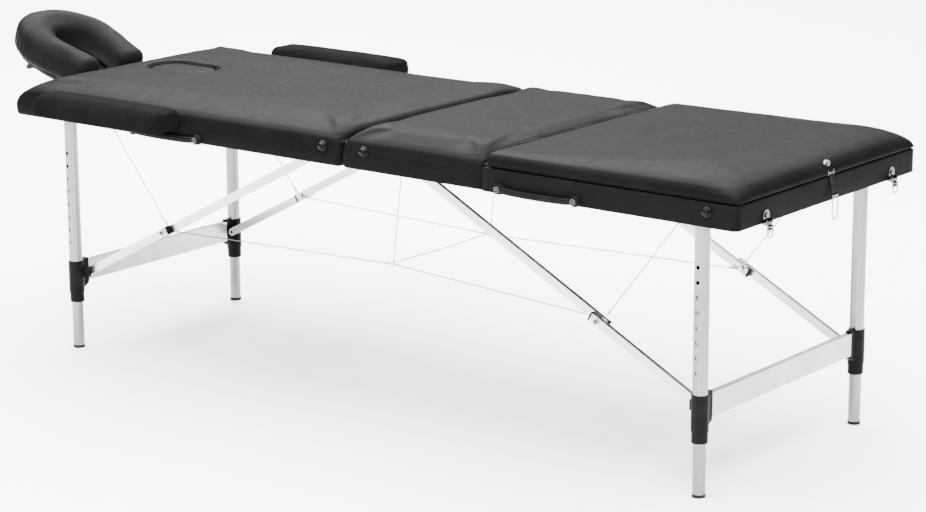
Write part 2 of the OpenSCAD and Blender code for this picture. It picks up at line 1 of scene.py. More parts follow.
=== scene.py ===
import math

import bmesh
import bpy
import numpy as np
from mathutils import Matrix, Vector, noise


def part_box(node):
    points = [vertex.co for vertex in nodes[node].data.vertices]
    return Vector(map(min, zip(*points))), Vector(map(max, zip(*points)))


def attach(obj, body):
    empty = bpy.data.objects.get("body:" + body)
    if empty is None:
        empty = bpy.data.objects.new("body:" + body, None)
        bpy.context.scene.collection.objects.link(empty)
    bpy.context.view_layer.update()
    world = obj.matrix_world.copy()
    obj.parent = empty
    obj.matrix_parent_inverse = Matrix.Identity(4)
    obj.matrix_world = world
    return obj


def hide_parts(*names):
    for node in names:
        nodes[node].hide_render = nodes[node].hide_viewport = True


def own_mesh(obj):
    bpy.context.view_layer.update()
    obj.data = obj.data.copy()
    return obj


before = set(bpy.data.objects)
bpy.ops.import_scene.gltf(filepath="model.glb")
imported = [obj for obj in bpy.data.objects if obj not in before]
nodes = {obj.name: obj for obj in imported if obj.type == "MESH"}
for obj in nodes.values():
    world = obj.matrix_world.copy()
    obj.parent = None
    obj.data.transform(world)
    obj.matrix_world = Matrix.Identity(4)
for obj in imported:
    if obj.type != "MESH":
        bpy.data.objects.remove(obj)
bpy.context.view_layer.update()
scene = bpy.context.scene
MM = 0.001


def lo(node):
    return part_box(node)[0]


def hi(node):
    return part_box(node)[1]


# Places in the row frame that the pieces hang from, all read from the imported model.
FOLD = hi("head_frame")[0] + 4 * MM
# Just above the fold axis, so that the folded halves rest on each other without cutting in.
UNDER = lo("head_frame")[2] + 0.6 * MM
FRAME_TOP = hi("head_frame")[2]
DECK_TOP = hi("head_deck")[2]
PAD_TOP = hi("head_pad")[2]
HEAD_X = lo("head_pad")[0]
MID_X = hi("mid_pad")[0]
LID_X = lo("lid_pad")[0]
FOOT_X = hi("foot_frame")[0] + 2 * MM
LID_LOW = lo("lid_board")[2]
LID_TOP = hi("lid_pad")[2]
HALF_W = hi("head_pad")[1]
RAIL_IN = HALF_W - 22 * MM

# ---------------------------------------------------------------- camera

LENS, SENSOR = 106.64, 36
CAMERA_PLACE = (FOLD + 3.4757, -4.3685, 1.668)
YAW, LOOK_DOWN, ROLL = 38.06, 13.96, -0.31
cam_data = bpy.data.cameras.new("camera")
cam_data.lens = LENS
cam_data.sensor_width = SENSOR
cam = bpy.data.objects.new("camera", cam_data)
cam.location = CAMERA_PLACE
cam.rotation_mode = "XYZ"
view = Matrix.Rotation(math.radians(YAW), 4, "Z") @ Matrix.Rotation(math.radians(90 - LOOK_DOWN), 4, "X")
cam.rotation_euler = (view @ Matrix.Rotation(math.radians(ROLL), 4, "Z")).to_euler()
scene.collection.objects.link(cam)
scene.camera = cam

# ---------------------------------------------------------------- materials


class Nodes:
    """A material's node tree, with short calls to build it."""

    def __init__(self, name):
        self.mat = bpy.data.materials.new(name)
        self.mat.use_nodes = True
        self.tree = self.mat.node_tree
        self.shader = self.tree.nodes["Principled BSDF"]
        self.place = self.add("ShaderNodeTexCoord").outputs["Object"]

    def add(self, kind, **values):
        n = self.tree.nodes.new(kind)
        for key, value in values.items():
            setattr(n, key, value)
        return n

    def link(self, a, b):
        self.tree.links.new(a, b)

    def mapped(self, scale):
        n = self.add("ShaderNodeMapping")
        n.inputs["Scale"].default_value = scale
        self.link(self.place, n.inputs["Vector"])
        return n.outputs["Vector"]

    def noise(self, scale, detail=4.0, stretch=(1, 1, 1), rough=0.55):
        n = self.add("ShaderNodeTexNoise")
        n.inputs["Scale"].default_value = scale
        n.inputs["Detail"].default_value = detail
        n.inputs["Roughness"].default_value = rough
        self.link(self.mapped(stretch), n.inputs["Vector"])
        return n.outputs["Fac"]

    def cells(self, scale, stretch=(1, 1, 1)):
        n = self.add("ShaderNodeTexVoronoi", feature="SMOOTH_F1")
        n.inputs["Scale"].default_value = scale
        n.inputs["Smoothness"].default_value = 0.4
        self.link(self.mapped(stretch), n.inputs["Vector"])
        return n.outputs["Distance"]

    def ramp(self, value, stops):
        n = self.add("ShaderNodeValToRGB")
        ends = n.color_ramp.elements
        for k, (pos, color) in enumerate(stops):
            e = ends[k] if k < 2 else ends.new(pos)
            e.position = pos
            e.color = (*color, 1) if len(color) == 3 else color
        self.link(value, n.inputs["Fac"])
        return n.outputs["Color"]

    def spread(self, value, low, high):
        n = self.add("ShaderNodeMapRange")
        n.inputs["From Min"].default_value = 0.25
        n.inputs["From Max"].default_value = 0.75
        n.inputs["To Min"].default_value = low
        n.inputs["To Max"].default_value = high
        self.link(value, n.inputs["Value"])
        return n.outputs["Result"]

    def color(self, value, low, high):
        self.link(self.ramp(value, [(0.3, low), (0.7, high)]), self.shader.inputs["Base Color"])

    def rough(self, value, low, high):
        self.link(self.spread(value, low, high), self.shader.inputs["Roughness"])

    def bump(self, *layers):
        """layers are (value, strength, height in metres), stacked."""
        before = None
        for value, strength, height in layers:
            n = self.add("ShaderNodeBump")
            n.inputs["Strength"].default_value = strength
            n.inputs["Distance"].default_value = height
            self.link(value, n.inputs["Height"])
            if before:
                self.link(before, n.inputs["Normal"])
            before = n.outputs["Normal"]
        self.link(before, self.shader.inputs["Normal"])

    def set(self, **values):
        for key, value in values.items():
            self.shader.inputs[key.replace("_", " ")].default_value = value


def vinyl(name, low, high, r0, r1, grain=620.0, spec=0.5):
    n = Nodes(name)
    n.set(Specular_IOR_Level=spec)
    n.color(n.noise(14.0, 6.0), low, high)
    n.rough(n.noise(55.0, 5.0), r0, r1)
    n.bump((n.noise(26.0, 3.0), 0.10, 0.0012), (n.cells(grain), 0.32, 0.0005),
           (n.noise(1400.0, 2.0), 0.2, 0.0002))
    return n.mat


def metal(name, low, high, r0, r1, stretch, scratch=0.0002, aniso=0.0):
    n = Nodes(name)
    n.set(Metallic=1.0, Anisotropic=aniso)
    n.color(n.noise(7.0, 5.0), low, high)
    n.rough(n.noise(160.0, 6.0, stretch), r0, r1)
    n.bump((n.noise(900.0, 4.0, stretch), 0.25, scratch))
    return n.mat


def painted_dark_reflection(mat, share):
    """Multiplies a metal's colour by share on faces that don't face along Y: a painted reflection, darkening
    the narrow faces as if the dark bed were mirrored in them.
    """
    tree = mat.node_tree
    shader = tree.nodes["Principled BSDF"]
    own = shader.inputs["Base Color"].links[0].from_socket
    split = tree.nodes.new("ShaderNodeSeparateXYZ")
    tree.links.new(tree.nodes.new("ShaderNodeTexCoord").outputs["Normal"], split.inputs["Vector"])
    facing = tree.nodes.new("ShaderNodeMath")
    facing.operation = "ABSOLUTE"
    tree.links.new(split.outputs["Y"], facing.inputs[0])
    soft = tree.nodes.new("ShaderNodeMapRange")
    soft.inputs["From Min"].default_value, soft.inputs["From Max"].default_value = 0.55, 0.8
    soft.inputs["To Min"].default_value, soft.inputs["To Max"].default_value = share, 1.0
    tree.links.new(facing.outputs[0], soft.inputs["Value"])
    scaled = tree.nodes.new("ShaderNodeVectorMath")
    scaled.operation = "SCALE"
    tree.links.new(own, scaled.inputs[0])
    tree.links.new(soft.outputs["Result"], scaled.inputs["Scale"])
    tree.links.new(scaled.outputs["Vector"], shader.inputs["Base Color"])


def plastic(name, low, high, r0, r1, grain=1100.0, depth=0.0002, spec=0.5):
    n = Nodes(name)
    n.set(Specular_IOR_Level=spec)
    n.color(n.noise(30.0, 5.0), low, high)
    n.rough(n.noise(120.0, 4.0), r0, r1)
    n.bump((n.noise(grain, 3.0), 0.3, depth))
    return n.mat


def hardboard(name, box):
    """Dark board seen from below, black where the cover is turned over its margins."""
    n = Nodes(name)
    w = n.add("ShaderNodeTexWave", wave_type="BANDS", bands_direction="Y")
    w.inputs["Scale"].default_value = 9.0
    w.inputs["Distortion"].default_value = 7.0
    w.inputs["Detail"].default_value = 4.0
    n.link(n.mapped((0.25, 1, 3)), w.inputs["Vector"])
    grain = n.ramp(w.outputs["Fac"], [(0.1, (0.052, 0.042, 0.033)), (0.9, (0.074, 0.061, 0.048))])
    split = n.add("ShaderNodeSeparateXYZ")
    n.link(n.place, split.inputs["Vector"])
    inside = []
    for axis, k, margin in (("X", 0, 24 * MM), ("Y", 1, 14 * MM)):
        a, b = box[0][k], box[1][k]
        m = n.add("ShaderNodeMath", operation="COMPARE")
        n.link(split.outputs[axis], m.inputs[0])
        m.inputs[1].default_value = (a + b) / 2
        m.inputs[2].default_value = (b - a) / 2 - margin
        inside.append(m.outputs[0])
    both = n.add("ShaderNodeMath", operation="MULTIPLY")
    n.link(inside[0], both.inputs[0])
    n.link(inside[1], both.inputs[1])
    mix = n.add("ShaderNodeMix", data_type="RGBA")
    n.link(both.outputs[0], mix.inputs[0])
    mix.inputs[6].default_value = (0.003, 0.003, 0.003, 1)
    n.link(grain, mix.inputs[7])
    n.link(mix.outputs[2], n.shader.inputs["Base Color"])
    n.rough(n.noise(60.0, 5.0, (0.1, 1, 1)), 0.5, 0.7)
    n.bump((n.noise(500.0, 5.0, (0.05, 1, 1)), 0.3, 0.0004))
    n.set(Specular_IOR_Level=0.15)
    return n.mat


PAD = vinyl("pad_vinyl", (0.0029, 0.0029, 0.0030), (0.0040, 0.0040, 0.0042), 0.38, 0.46, spec=0.009)
SHELF = vinyl("shelf_vinyl", (0.0034, 0.0034, 0.0036), (0.0046, 0.0046, 0.0049), 0.40, 0.48, spec=0.001)
WRAP = vinyl("frame_vinyl", (0.0034, 0.0034, 0.0036), (0.0048, 0.0048, 0.0051), 0.42, 0.52, spec=0.010)
CRADLE = vinyl("cradle_vinyl", (0.0040, 0.0040, 0.0042), (0.0060, 0.0060, 0.0063),
               0.38, 0.48, 480.0, 0.007)
TUBE = metal("satin_tube", (0.155, 0.157, 0.161), (0.195, 0.197, 0.202),
             0.16, 0.24, (1, 1, 0.02), aniso=0.3)
BAR = metal("satin_bar", (0.30, 0.303, 0.309), (0.37, 0.373, 0.380),
            0.24, 0.34, (1, 0.02, 1), aniso=0.3)
STRUT = metal("satin_strut", (0.44, 0.445, 0.455), (0.52, 0.525, 0.535),
              0.22, 0.32, (0.03, 1, 0.03), aniso=0.2)
# The strut's narrow faces get a painted dark reflection in their colour.
painted_dark_reflection(STRUT, 0.55)
ZINC = metal("zinc_steel", (0.55, 0.56, 0.58), (0.70, 0.71, 0.72), 0.30, 0.45, (1, 1, 1), 0.0003)
CHROME = metal("chrome", (0.050, 0.051, 0.053), (0.120, 0.122, 0.126), 0.12, 0.24, (1, 1, 1), 0.00005)
LOOP = metal("loop_wire", (0.12, 0.122, 0.126), (0.20, 0.202, 0.206), 0.16, 0.26, (1, 1, 1), 0.00005)
WIRE = metal("wire_rope", (0.10, 0.102, 0.106), (0.16, 0.163, 0.168), 0.28, 0.42, (1, 1, 1), 0.0002)
MOULDED = plastic("moulded_black", (0.0030, 0.0030, 0.0030), (0.0055, 0.0055, 0.0058),
                  0.32, 0.44, spec=0.03)
GLOSS = plastic("gloss_black", (0.0020, 0.0020, 0.0021), (0.0030, 0.0030, 0.0032),
                0.14, 0.22, 400.0, 0.0001, 0.06)
RUBBER = plastic("rubber_black", (0.0040, 0.0040, 0.0040), (0.0080, 0.0080, 0.0080),
                 0.65, 0.85, 700.0, 0.0004, 0.2)
BOARD = plastic("painted_board", (0.0040, 0.0040, 0.0040), (0.0070, 0.0070, 0.0070),
                0.45, 0.6, 300.0, 0.0003, 0.2)


def part_black(name, x0, x1, low=(0.62, 0.63, 0.65), high=(0.78, 0.79, 0.80)):
    """Bare metal, but painted black where x lies between x0 and x1."""
    n = Nodes(name)
    split = n.add("ShaderNodeSeparateXYZ")
    n.link(n.place, split.inputs["Vector"])
    inside = n.add("ShaderNodeMath", operation="COMPARE")
    n.link(split.outputs["X"], inside.inputs[0])
    inside.inputs[1].default_value = (x0 + x1) / 2
    inside.inputs[2].default_value = (x1 - x0) / 2
    grain = n.noise(160.0, 5.0)
    mix = n.add("ShaderNodeMix", data_type="RGBA")
    n.link(inside.outputs[0], mix.inputs[0])
    n.link(n.ramp(grain, [(0.3, low), (0.7, high)]), mix.inputs[6])
    mix.inputs[7].default_value = (0.006, 0.006, 0.006, 1)
    n.link(mix.outputs[2], n.shader.inputs["Base Color"])
    bare = n.add("ShaderNodeMath", operation="SUBTRACT")
    bare.inputs[0].default_value = 1.0
    n.link(inside.outputs[0], bare.inputs[1])
    n.link(bare.outputs[0], n.shader.inputs["Metallic"])
    n.rough(grain, 0.28, 0.42)
    n.set(Specular_IOR_Level=0.01)
    return n.mat


def paint(mat, *names, bevel=0.0):
    """Gives carried-over CAD nodes their material, and a fine edge where bevel is set."""
    for name in names:
        o = nodes[name]
        if not o.material_slots:
            o.data.materials.append(mat)
        for s in o.material_slots:
            s.material = mat
        if bevel:
            b = o.modifiers.new("edge", "BEVEL")
            b.width = bevel
            b.segments = 2
            b.limit_method = "ANGLE"
            b.angle_limit = math.radians(50)


# ---------------------------------------------------------------- mesh helpers


def new_object(name, verts, faces, mat, smooth=True):
    me = bpy.data.meshes.new(name)
    me.from_pydata([tuple(map(float, v)) for v in verts], [], faces)
    me.update()
    bm = bmesh.new()
    bm.from_mesh(me)
    bmesh.ops.recalc_face_normals(bm, faces=bm.faces)
    bm.to_mesh(me)
    bm.free()
    me.materials.append(mat)
    o = bpy.data.objects.new(name, me)
    scene.collection.objects.link(o)
    for p in me.polygons:
        p.use_smooth = smooth
    return o


def loft(name, rings, mat, smooth=True, caps=True):
    """A closed skin over rings of equally many points."""
    n = len(rings[0])
    verts = [p for r in rings for p in r]
    faces = []
    for k in range(len(rings) - 1):
        for i in range(n):
            j = (i + 1) % n
            faces.append((k * n + i, k * n + j, (k + 1) * n + j, (k + 1) * n + i))
    if caps:
        faces.append(tuple(range(n))[::-1])
        faces.append(tuple((len(rings) - 1) * n + i for i in range(n)))
    return new_object(name, verts, faces, mat, smooth)


def tube(name, pts, radius, mat, seg=10, closed=False, lobes=0, twist=0.0):
    """A round or lobed cord along pts, carried without spin. twist is radians per metre."""
    pts = [Vector(p) for p in pts]
    n = len(pts)
    rings = []
    up = None
    run = 0.0
    for k, p in enumerate(pts):
        a = pts[(k - 1) % n] if closed or k else p
        b = pts[(k + 1) % n] if closed or k < n - 1 else p
        t = (b - a).normalized()
        if up is None:
            up = t.orthogonal().normalized()
        up = (up - t * up.dot(t)).normalized()
        side = t.cross(up)
        if k:
            run += (p - pts[k - 1]).length
        ring = []
        for i in range(seg):
            w = 2 * math.pi * i / seg
            r = radius * (1 + 0.14 * math.cos(lobes * w)) if lobes else radius
            w += twist * run
            ring.append(p + (up * math.cos(w) + side * math.sin(w)) * r)
        rings.append(ring)
    if closed:
        verts = [q for r in rings for q in r]
        faces = []
        for k in range(n):
            m = (k + 1) % n
            for i in range(seg):
                j = (i + 1) % seg
                faces.append((k * seg + i, k * seg + j, m * seg + j, m * seg + i))
        return new_object(name, verts, faces, mat)
    return loft(name, rings, mat)


def joined(name, parts):
    """One object from several, with their materials kept."""
    bpy.ops.object.select_all(action="DESELECT")
    for o in parts:
        o.select_set(True)
    bpy.context.view_layer.objects.active = parts[0]
    bpy.ops.object.join()
    parts[0].name = name
    return parts[0]


def coords(o):
    co = np.empty(len(o.data.vertices) * 3, np.float64)
    o.data.vertices.foreach_get("co", co)
    return co.reshape(-1, 3)


def set_coords(o, co):
    o.data.vertices.foreach_set("co", np.ascontiguousarray(co, np.float32).ravel())
    o.data.update()


def apply(o, mod):
    """Applies one modifier by taking the evaluated mesh."""
    bpy.context.view_layer.update()
    dg = bpy.context.evaluated_depsgraph_get()
    me = bpy.data.meshes.new_from_object(o.evaluated_get(dg))
    old = o.data
    o.modifiers.remove(mod)
    o.data = me
    bpy.data.meshes.remove(old)
    for p in me.polygons:
        p.use_smooth = True


def subdivide(o, levels=1):
    m = o.modifiers.new("sub", "SUBSURF")
    m.levels = m.render_levels = levels
    apply(o, m)


def cut(o, cutter):
    """Takes the cutter's shape out of o."""
    m = o.modifiers.new("cut", "BOOLEAN")
    m.operation = "DIFFERENCE"
    m.solver = "EXACT"
    m.object = cutter
    apply(o, m)
    bpy.data.objects.remove(cutter)


def box_object(name, a, b, mat):
    v = [(x, y, z) for x in (a[0], b[0]) for y in (a[1], b[1]) for z in (a[2], b[2])]
    f = [(0, 1, 3, 2), (4, 6, 7, 5), (0, 4, 5, 1), (2, 3, 7, 6), (0, 2, 6, 4), (1, 5, 7, 3)]
    return new_object(name, v, f, mat, False)


def puff(o, voxel, cap, pin=None, pressure=4.0, stiff=15.0):
    """Cloth filled with pressure: remesh, blow up, cap how far a point moves, and keep the shape."""
    m = o.modifiers.new("grid", "REMESH")
    m.mode = "VOXEL"
    m.voxel_size = voxel
    apply(o, m)
    rest = coords(o)
    weight = np.zeros(len(rest)) if pin is None else np.clip(pin(rest), 0, 1)
    group = o.vertex_groups.new(name="pin")
    for i in np.nonzero(weight > 0.01)[0]:
        group.add([int(i)], float(weight[i]), "REPLACE")
    c = o.modifiers.new("cloth", "CLOTH")
    s = c.settings
    s.quality = 4
    s.mass = 0.3
    s.tension_stiffness = s.compression_stiffness = stiff
    s.shear_stiffness = stiff / 2
    s.bending_stiffness = 2.0
    s.use_pressure = True
    s.uniform_pressure_force = pressure
    s.effector_weights.gravity = 0
    if pin is not None:
        s.vertex_group_mass = "pin"
    c.point_cache.frame_start = 1
    c.point_cache.frame_end = 20
    for f in range(1, 21):
        scene.frame_set(f)
    dg = bpy.context.evaluated_depsgraph_get()
    e = o.evaluated_get(dg)
    moved = np.empty(len(rest) * 3)
    e.data.vertices.foreach_get("co", moved)
    moved = moved.reshape(-1, 3)
    step = moved - rest
    size = np.linalg.norm(step, axis=1, keepdims=True)
    step *= np.minimum(1, cap / np.maximum(size, 1e-9))
    step *= 1 - weight[:, None]
    o.modifiers.remove(c)
    o.vertex_groups.clear()
    set_coords(o, rest + step)
    scene.frame_set(1)


def soft_noise(p, scale, seed):
    return noise.noise(Vector((p[0] * scale + seed, p[1] * scale - seed, p[2] * scale)))


def ripple(o, size, scale, seed, where=None):
    """Small uneven swells along the normals, as stretched vinyl has."""
    co = coords(o)
    nm = np.empty(len(co) * 3)
    o.data.vertices.foreach_get("normal", nm)
    nm = nm.reshape(-1, 3)
    amp = np.array([soft_noise(p, scale, seed) for p in co]) * size
    if where is not None:
        amp *= where(co)
    set_coords(o, co + nm * amp[:, None])


def ease(d, reach, power=2.3):
    """0 at an edge, rising to 1 at reach, like the quarter of a rounded edge."""
    t = np.clip(d / reach, 0, 1)
    return (1 - (1 - t) ** power) ** (1 / power)


# ---------------------------------------------------------------- bed pads


def spaced(a, b, fine, coarse, reach):
    """Places from a to b, close together near both ends."""
    out = [a]
    while out[-1] < b - 1e-6:
        d = min(out[-1] - a, b - out[-1])
        out.append(out[-1] + (fine if d < reach else coarse))
    out[-1] = b
    return out


def pad_block(name, x0, x1, z0, height, mat):
    """A closed block whose top follows height(x, y)."""
    xs = spaced(x0, x1, 3 * MM, 12 * MM, 70 * MM)
    ys = spaced(-HALF_W, HALF_W, 3 * MM, 12 * MM, 90 * MM)
    nx, ny = len(xs), len(ys)
    gx, gy = np.meshgrid(xs, ys, indexing="ij")
    top = np.stack([gx, gy, height(gx, gy)], -1).reshape(-1, 3)
    low = top.copy()
    low[:, 2] = z0
    verts = np.vstack([top, low])
    m = nx * ny
    faces = []
    for i in range(nx - 1):
        for j in range(ny - 1):
            q = (i * ny + j, (i + 1) * ny + j, (i + 1) * ny + j + 1, i * ny + j + 1)
            faces.append(q)
            faces.append(tuple(m + k for k in q)[::-1])
    rim = [i * ny for i in range(nx)] + [(nx - 1) * ny + j for j in range(1, ny)]
    rim += [i * ny + ny - 1 for i in range(nx - 2, -1, -1)] + [j for j in range(ny - 2, 0, -1)]
    for k, a in enumerate(rim):
        b = rim[(k + 1) % len(rim)]
        faces.append((a, b, m + b, m + a))
    return new_object(name, verts, faces, mat)


def crowned(top, ends, side, power=2.3, sides=None):
    """Height of a pad: ends are (edge x, sign, reach, drop) and side is (reach, drop)."""

    def height(x, y):
        z = top(x) if callable(top) else np.full_like(x, top)
        full = sides(x) if sides else np.ones_like(x)
        s = ease(HALF_W - np.abs(y), side[0] * full, power)
        drop = side[1] * full * (1 - s)
        for edge, sign, reach, fall in ends:
            e = ease((x - edge) * sign, reach, power)
            drop = drop + fall * (1 - e) - drop * (1 - e) * 0.75
        return z - drop

    return height


def pinned_below(z, soft):
    return lambda co: 1 - np.clip((co[:, 2] - z) / soft, 0, 1)


def bow_walls(o, z0, z1, size, ends):
    """Lets the walls swell outwards between z0 and z1. ends are (edge x, sign, extra)."""
    co = coords(o)
    t = np.clip((co[:, 2] - z0) / (z1 - z0), 0, 1)
    swell = np.sin(t * math.pi)
    side = np.clip(1 - (HALF_W - np.abs(co[:, 1])) / (12 * MM), 0, 1)
    co[:, 1] += np.sign(co[:, 1]) * side * swell * size
    for edge, sign, extra in ends:
        near = np.clip(1 - (co[:, 0] - edge) * sign / (24 * MM), 0, 1)
        co[:, 0] -= sign * near * swell * extra
    set_coords(o, co)


def bed_cover(name, x0, x1, z0, height, ripples, seed, mat=PAD, ends=()):
    o = pad_block(name, x0, x1, z0, height, mat)
    puff(o, 8 * MM, 5 * MM, pinned_below(z0 + 14 * MM, 30 * MM))
    bow_walls(o, z0, PAD_TOP - 8 * MM, 1.2 * MM, ends)
    subdivide(o)
    ripple(o, ripples, 9.0, seed, lambda co: np.clip((co[:, 2] - z0 - 6 * MM) / (25 * MM), 0, 1))
    ripple(o, ripples * 0.4, 31.0, seed + 4, lambda co: np.clip((co[:, 2] - z0 - 6 * MM) / (25 * MM), 0, 1))
    return o


head_cover = bed_cover(
    "head_cover", HEAD_X - 1 * MM, FOLD - 1.6 * MM, UNDER,
    crowned(PAD_TOP, [(HEAD_X - 1 * MM, 1, 60 * MM, 38 * MM), (FOLD - 1.6 * MM, -1, 26 * MM, 20 * MM)],
            (96 * MM, 28 * MM), 2.1),
    0.9 * MM, 3.0, ends=[(HEAD_X - 1 * MM, 1, 3 * MM)])
mid_cover = bed_cover(
    "mid_cover", FOLD + 1.6 * MM, MID_X, UNDER,
    crowned(PAD_TOP, [(FOLD + 1.6 * MM, 1, 30 * MM, 22 * MM), (MID_X, -1, 40 * MM, 18 * MM)],
            (96 * MM, 28 * MM), 2.1),
    0.8 * MM, 8.0)


def lid_top(x):
    t = np.clip((x - LID_X) / (FOOT_X - LID_X), 0, 1)
    return PAD_TOP + (LID_TOP - PAD_TOP) * t ** 1.15


def lid_sides(x):
    """How far the sides roll over: little by the hinge, fully at the foot end."""
    return 0.35 + 0.65 * np.clip((x - LID_X) / (FOOT_X - LID_X) / 0.7, 0, 1)


lid_cover = bed_cover(
    "lid_cover", LID_X, FOOT_X, LID_LOW - 0.3 * MM,
    crowned(lid_top, [(LID_X, 1, 16 * MM, 5 * MM), (FOOT_X, -1, 125 * MM, 41 * MM)],
            (96 * MM, 25 * MM), 2.1, lid_sides),
    0.8 * MM, 15.0)

# The face hole: a pulled-in lip, then the hole itself.
plug_lo, plug_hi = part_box("face_plug")
HOLE = Vector(((plug_lo[0] + plug_hi[0]) / 2, 0, 0))
END_R = (plug_hi[1] - plug_lo[1]) / 2 + 1 * MM
HALF_L = (plug_hi[0] - plug_lo[0]) / 2 + 1 * MM - END_R


def hole_distance(co, r):
    """Distance outside the oblong of end radius r, negative inside."""
    x = np.abs(co[:, 0] - HOLE.x)
    return np.hypot(np.maximum(x - HALF_L, 0), co[:, 1]) - r


def oblong(r, z, count=96):
    """A ring of points on the oblong of end radius r at height z."""
    out = []
    for k in range(count):
        w = 2 * math.pi * (k + 0.5) / count
        c, s = math.cos(w), math.sin(w)
        out.append((HOLE.x + r * c + math.copysign(HALF_L, c), r * s, z))
    return out


co = coords(head_cover)
d = hole_distance(co, END_R)
high = co[:, 2] > DECK_TOP
co[high, 2] -= 3.0 * MM * np.exp(-(np.abs(d[high]) / (9 * MM)) ** 1.4)
set_coords(head_cover, co)
hole_rings = [(END_R - 1.2 * MM, UNDER - 10 * MM), (END_R - 1.2 * MM, PAD_TOP - 9 * MM),
              (END_R - 0.6 * MM, PAD_TOP - 5 * MM), (END_R + 1.5 * MM, PAD_TOP - 1.5 * MM),
              (END_R + 6 * MM, PAD_TOP + 6 * MM)]
cut(head_cover, loft("hole_tool", [oblong(r, z) for r, z in hole_rings], WRAP))

# Under each cover the wrapped rails stay, and the recess between them is open.
cut(head_cover, box_object("recess_tool", (HEAD_X + 22 * MM, -RAIL_IN, UNDER - 9 * MM),
                           (FOLD - 24 * MM, RAIL_IN, FRAME_TOP + 0.6 * MM), WRAP))
cut(mid_cover, box_object("recess_tool", (FOLD + 24 * MM, -RAIL_IN, UNDER - 9 * MM),
                          (MID_X + 9 * MM, RAIL_IN, FRAME_TOP + 0.6 * MM), WRAP))
cut(lid_cover, box_object("recess_tool", (LID_X + 20 * MM, -RAIL_IN, LID_LOW - 9 * MM),
                          (FOOT_X - 22 * MM, RAIL_IN, LID_LOW + 1.5 * MM), WRAP))

for o, node, body in ((head_cover, ("head_pad", "head_frame"), "head_half"),
                      (mid_cover, ("mid_pad",), "foot_half"), (lid_cover, ("lid_pad",), "lid")):
    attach(o, body)
    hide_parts(*node)

# The plug that closes the face hole.
plug_rings = [(END_R - 6 * MM, FRAME_TOP), (END_R - 3.5 * MM, DECK_TOP), (END_R - 2.4 * MM, DECK_TOP + 8 * MM)]
plug_rings += [(END_R - inset * MM, PAD_TOP + rise * MM) for inset, rise in (
    (2.4, -8), (3.4, -4), (6, -1.6), (12, -0.2), (22, 0.7), (36, 1.2), (50, 1.3))]
plug = loft("face_plug_cover", [oblong(r, z) for r, z in plug_rings], PAD)
ripple(plug, 0.5 * MM, 30.0, 2.0, lambda c: (c[:, 2] > DECK_TOP + 8 * MM) * 1.0)
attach(plug, "plug")
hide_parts("face_plug")

seam = tube("face_hole_seam", oblong(END_R - 0.9 * MM, PAD_TOP - 1.3 * MM), 1.5 * MM, WRAP, 10, closed=True)
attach(seam, "head_half")

# ---------------------------------------------------------------- wrapped foot frame


def rail_section(out, inner, z0, z1, r):
    """Rounded rectangle across a rail: (outward, height) pairs."""
    pts = []
    for cx, cz, w0 in ((out - r, z0 + r, -90), (out - r, z1 - r, 0),
                       (inner + r, z1 - r, 90), (inner + r, z0 + r, 180)):
        for k in range(6):
            w = math.radians(w0 + 18 * k)
            pts.append((cx + r * math.cos(w), cz + r * math.sin(w)))
    return pts


def foot_wrap():
    """The rails under the lift-up pad, as one wrapped U."""
    r = 14 * MM
    x0 = MID_X + 0.9 * MM
    path = []
    n = 40
    for k in range(n + 1):
        path.append((Vector((x0 + (FOOT_X - r - x0) * k / n, -HALF_W + r, 0)), Vector((0, -1, 0))))
    for k in range(1, 7):
        w = math.radians(-90 + 15 * k)
        path.append((Vector((FOOT_X - r, -HALF_W + r, 0)), Vector((math.cos(w), math.sin(w), 0))))
    for k in range(1, n):
        path.append((Vector((FOOT_X - r, (-HALF_W + r) * (1 - 2 * k / n), 0)), Vector((1, 0, 0))))
    for k in range(7):
        w = math.radians(15 * k)
        path.append((Vector((FOOT_X - r, HALF_W - r, 0)), Vector((math.cos(w), math.sin(w), 0))))
    for k in range(1, n + 1):
        path.append((Vector((FOOT_X - r - (FOOT_X - r - x0) * k / n, HALF_W - r, 0)), Vector((0, 1, 0))))
    section = rail_section(r, r - 22 * MM, UNDER, FRAME_TOP + 0.5 * MM, 3.2 * MM)
    rings = []
    for c, out in path:
        ring = [c + out * a + Vector((0, 0, z)) for a, z in section]
        rings.append(ring)
    o = loft("foot_frame_wrap", rings, WRAP)
    ripple(o, 0.35 * MM, 22.0, 5.0)
    return o


wrap = foot_wrap()
cross_section = rail_section(MID_X + 0.5 * MM, MID_X - 17.5 * MM, FRAME_TOP - 20 * MM, FRAME_TOP, 2.5 * MM)
CROSS_Y = 236 * MM
cross = loft("middle_rail_wrap",
             [[(a, y, z) for a, z in cross_section] for y in np.linspace(-CROSS_Y, CROSS_Y, 9)], WRAP)
wrap = joined("foot_frame_wrap", [wrap, cross])
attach(wrap, "foot_half")
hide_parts("foot_frame")


# ---------------------------------------------------------------- arm shelves


def shelf_section(hy, z0, z1, low_r, top_r):
    """Rounded section across a shelf, softer above than below: (across, height) pairs."""
    pts = []
    for y, z, r, w0 in ((hy - low_r, z0 + low_r, low_r, -90), (hy - top_r, z1 - top_r, top_r, 0),
                        (top_r - hy, z1 - top_r, top_r, 90), (low_r - hy, z0 + low_r, low_r, 180)):
        for k in range(9):
            w = math.radians(w0 + 90 * k / 8)
            pts.append((y + r * math.cos(w), z + r * math.sin(w)))
    return pts


